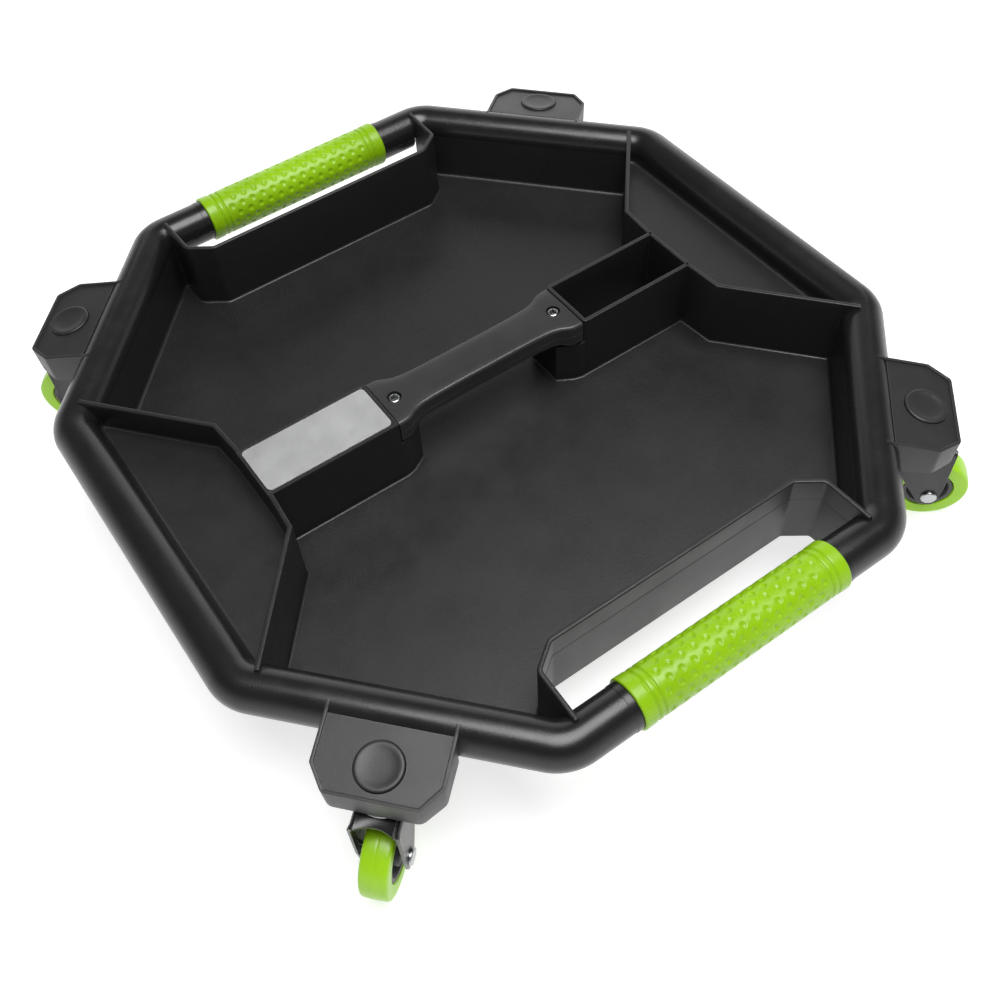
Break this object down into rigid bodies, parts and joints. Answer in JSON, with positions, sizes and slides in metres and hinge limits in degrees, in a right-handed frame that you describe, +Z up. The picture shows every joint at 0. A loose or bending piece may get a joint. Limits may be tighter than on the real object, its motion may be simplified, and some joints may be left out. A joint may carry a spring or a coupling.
{
  "type": "rolling workshop tray",
  "caption": "Octagonal moulded tray with tubular rim, gripped side handles, centre handle, steel plate and swivel casters on corner brackets, for rolling tools and parts.",
  "frame": {"origin": "on the floor, under the middle of the tray", "axes": "+Z up, +X along the centre handle from the steel plate towards the open pocket, +Y from the front grip to the rear grip"},
  "size_m": [0.481, 0.5062, 0.1033],
  "materials": {
    "tray_plastic": "black fine-grain injection-moulded plastic, satin",
    "handle_plastic": "black satin plastic",
    "bracket_plastic": "dark grey grained plastic",
    "grip_rubber": "lime green soft rubber, dimpled",
    "tyre_lime": "lime green smooth polyurethane",
    "hub_plastic": "dark grey plastic",
    "fork_paint": "black painted pressed steel",
    "zinc": "bright zinc-plated steel",
    "plate_steel": "fine silver steel plate"
  },
  "bodies": {
    "tray": {"tray": "tray_plastic", "steel_plate": "plate_steel", "centre_handle_top": "handle_plastic", "centre_handle_bottom": "handle_plastic", "handle_screw_left": "zinc", "handle_screw_right": "zinc", "rim_handle_closure_front": "tray_plastic", "grip_front": "grip_rubber", "rim_handle_closure_rear": "tray_plastic", "grip_rear": "grip_rubber", "bracket_left_front": "bracket_plastic", "stem_cap_left_front": "bracket_plastic", "bracket_screw_left_front_a": "zinc", "bracket_screw_left_front_b": "zinc", "swivel_pin_left_front": "zinc", "swivel_race_left_front": "zinc", "bracket_right_front": "bracket_plastic", "stem_cap_right_front": "bracket_plastic", "bracket_screw_right_front_a": "zinc", "bracket_screw_right_front_b": "zinc", "swivel_pin_right_front": "zinc", "swivel_race_right_front": "zinc", "bracket_right_rear": "bracket_plastic", "stem_cap_right_rear": "bracket_plastic", "bracket_screw_right_rear_a": "zinc", "bracket_screw_right_rear_b": "zinc", "swivel_pin_right_rear": "zinc", "swivel_race_right_rear": "zinc", "bracket_left_rear": "bracket_plastic", "stem_cap_left_rear": "bracket_plastic", "bracket_screw_left_rear_a": "zinc", "bracket_screw_left_rear_b": "zinc", "swivel_pin_left_rear": "zinc", "swivel_race_left_rear": "zinc"},
    "caster_left_front": {"fork_left_front": "fork_paint", "axle_left_front": "zinc"},
    "wheel_left_front": {"hub_left_front": "hub_plastic", "tyre_left_front": "tyre_lime"},
    "caster_right_front": {"fork_right_front": "fork_paint", "axle_right_front": "zinc"},
    "wheel_right_front": {"hub_right_front": "hub_plastic", "tyre_right_front": "tyre_lime"},
    "caster_right_rear": {"fork_right_rear": "fork_paint", "axle_right_rear": "zinc"},
    "wheel_right_rear": {"hub_right_rear": "hub_plastic", "tyre_right_rear": "tyre_lime"},
    "caster_left_rear": {"fork_left_rear": "fork_paint", "axle_left_rear": "zinc"},
    "wheel_left_rear": {"hub_left_rear": "hub_plastic", "tyre_left_rear": "tyre_lime"}
  },
  "joints": [
    {"name": "swivel_left_front", "type": "hinge", "parent": "tray", "child": "caster_left_front", "pos_m": [-0.19188, -0.19359, 0.07], "axis": [0, 0, 1], "continuous": true},
    {"name": "roll_left_front", "type": "hinge", "parent": "caster_left_front", "child": "wheel_left_front", "pos_m": [-0.20477, -0.20514, 0.025], "axis": [0.6675, -0.7446, 0], "continuous": true},
    {"name": "swivel_right_front", "type": "hinge", "parent": "tray", "child": "caster_right_front", "pos_m": [0.19188, -0.19359, 0.07], "axis": [0, 0, 1], "continuous": true},
    {"name": "roll_right_front", "type": "hinge", "parent": "caster_right_front", "child": "wheel_right_front", "pos_m": [0.20477, -0.20514, 0.025], "axis": [0.6675, 0.7446, 0], "continuous": true},
    {"name": "swivel_right_rear", "type": "hinge", "parent": "tray", "child": "caster_right_rear", "pos_m": [0.19188, 0.19359, 0.07], "axis": [0, 0, 1], "continuous": true},
    {"name": "roll_right_rear", "type": "hinge", "parent": "caster_right_rear", "child": "wheel_right_rear", "pos_m": [0.20477, 0.20514, 0.025], "axis": [-0.6675, 0.7446, 0], "continuous": true},
    {"name": "swivel_left_rear", "type": "hinge", "parent": "tray", "child": "caster_left_rear", "pos_m": [-0.19188, 0.19359, 0.07], "axis": [0, 0, 1], "continuous": true},
    {"name": "roll_left_rear", "type": "hinge", "parent": "caster_left_rear", "child": "wheel_left_rear", "pos_m": [-0.20477, 0.20514, 0.025], "axis": [-0.6675, -0.7446, 0], "continuous": true}
  ]
}
